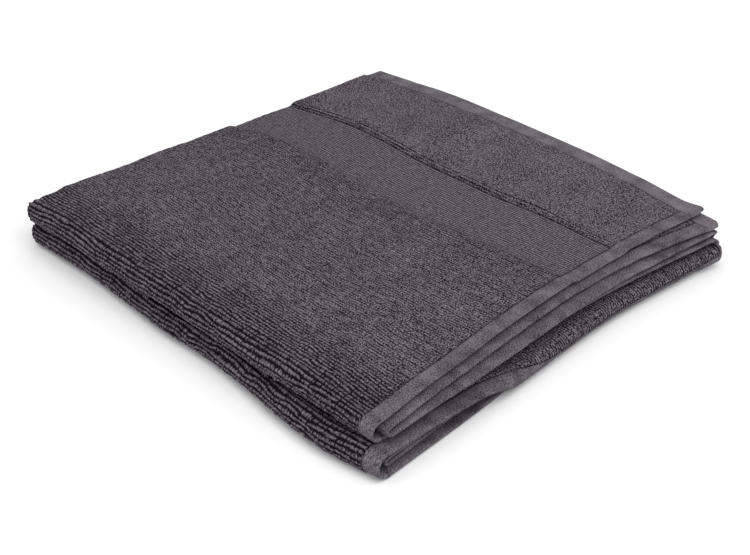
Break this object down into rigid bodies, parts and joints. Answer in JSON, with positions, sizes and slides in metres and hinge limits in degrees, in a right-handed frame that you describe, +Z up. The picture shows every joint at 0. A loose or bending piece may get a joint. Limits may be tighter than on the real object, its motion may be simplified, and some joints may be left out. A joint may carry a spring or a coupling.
{
  "type": "folded bath towel",
  "caption": "Terry bath towel with woven end borders and hemmed edges, folded lengthwise and then in a zigzag into a flat square stack.",
  "frame": {"origin": "centre of the folded towel's bounding box, at its underside", "axes": "+Z up; +X across the folded towel, from the lengthwise bend towards the selvages; +Y along the towel, from the edge with two folds towards the edge with the end hems"},
  "size_m": [0.3508, 0.3582, 0.0394],
  "materials": {
    "terry": "looped terry pile, charcoal grey, matt",
    "border": "flat ribbed dobby weave, charcoal grey, matt",
    "hem": "flat twill hem, charcoal grey, matt",
    "thread": "sewing thread, dark grey, matt"
  },
  "bodies": {
    "panel_4": {"terry_panel_4": "terry", "left_side_hem_4": "hem", "left_side_seam_4": "thread", "right_side_hem_4": "hem", "right_side_seam_4": "thread", "border_bottom": "border", "end_terry_bottom": "terry", "end_seam_bottom": "thread", "end_hem_bottom": "hem", "terry_fold_3": "terry", "left_side_hem_fold_3": "hem", "left_side_seam_fold_3": "thread", "right_side_hem_fold_3": "hem", "right_side_seam_fold_3": "thread"},
    "panel_3": {"terry_panel_3": "terry", "left_side_hem_3": "hem", "left_side_seam_3": "thread", "right_side_hem_3": "hem", "right_side_seam_3": "thread", "terry_fold_2": "terry", "left_side_hem_fold_2": "hem", "left_side_seam_fold_2": "thread", "right_side_hem_fold_2": "hem", "right_side_seam_fold_2": "thread"},
    "panel_2": {"terry_panel_2": "terry", "left_side_hem_2": "hem", "left_side_seam_2": "thread", "right_side_hem_2": "hem", "right_side_seam_2": "thread", "terry_fold_1": "terry", "left_side_hem_fold_1": "hem", "left_side_seam_fold_1": "thread", "right_side_hem_fold_1": "hem", "right_side_seam_fold_1": "thread"},
    "panel_1": {"terry_panel_1": "terry", "left_side_hem_1": "hem", "left_side_seam_1": "thread", "right_side_hem_1": "hem", "right_side_seam_1": "thread", "border_top": "border", "end_terry_top": "terry", "end_seam_top": "thread", "end_hem_top": "hem"}
  },
  "joints": [
    {"name": "fold_3", "type": "hinge", "parent": "panel_4", "child": "panel_3", "pos_m": [0, -0.16938, 0.0097], "axis": [1, 0, 0], "range_deg": [0, 179.9], "deforming": ["terry_fold_3", "left_side_hem_fold_3", "left_side_seam_fold_3", "right_side_hem_fold_3", "right_side_seam_fold_3"]},
    {"name": "fold_2", "type": "hinge", "parent": "panel_3", "child": "panel_2", "pos_m": [0, 0.16938, 0.0197], "axis": [-1, 0, 0], "range_deg": [0, 179.9], "deforming": ["terry_fold_2", "left_side_hem_fold_2", "left_side_seam_fold_2", "right_side_hem_fold_2", "right_side_seam_fold_2"]},
    {"name": "fold_1", "type": "hinge", "parent": "panel_2", "child": "panel_1", "pos_m": [0, -0.16938, 0.0297], "axis": [1, 0, 0], "range_deg": [0, 179.9], "deforming": ["terry_fold_1", "left_side_hem_fold_1", "left_side_seam_fold_1", "right_side_hem_fold_1", "right_side_seam_fold_1"]}
  ]
}
